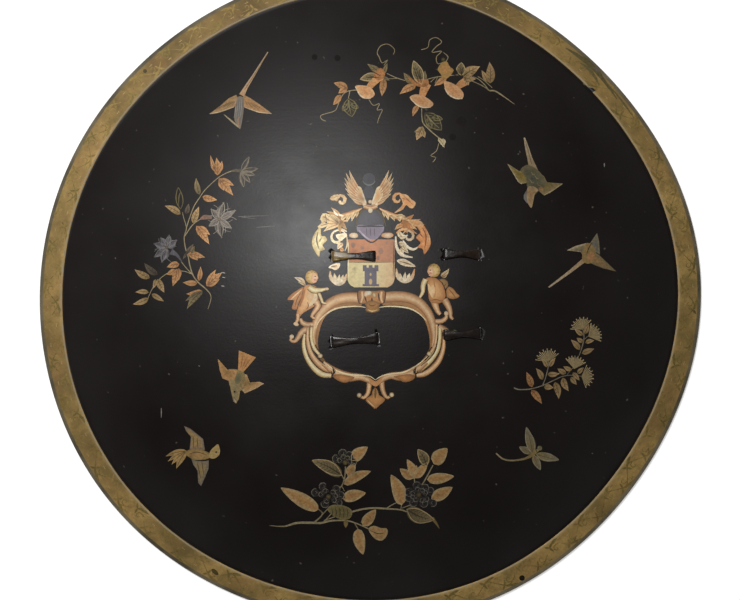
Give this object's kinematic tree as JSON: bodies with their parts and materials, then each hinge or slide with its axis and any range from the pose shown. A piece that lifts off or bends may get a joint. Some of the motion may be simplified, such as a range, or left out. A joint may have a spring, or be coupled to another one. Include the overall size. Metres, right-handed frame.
{
  "type": "lacquered round shield",
  "caption": "Round domed hide shield in black lacquer with a gold border and painted ornament, thong loops on the face and hand grips inside.",
  "frame": {"origin": "centre of the outline's box, on the plane that the underside of the rim rests on", "axes": "+Z out of the face, up when it lies on its rim; +Y towards the top of the painted arms; +X to the right of the face"},
  "size_m": [0.6052, 0.5996, 0.0928],
  "materials": {
    "black_lacquer": "worn black lacquer over hide, soft sheen",
    "gold_lacquer": "dulled gold dust in lacquer, satin",
    "thong_leather": "dark oiled hide strip",
    "grip_leather": "dark brown stitched strap"
  },
  "bodies": {
    "root": {"shield_body": "black_lacquer", "thong_upper_left": "thong_leather", "thong_lower_left": "thong_leather", "thong_upper_right": "thong_leather", "thong_lower_right": "thong_leather", "grip_left": "grip_leather", "grip_right": "grip_leather"}
  },
  "joints": []
}
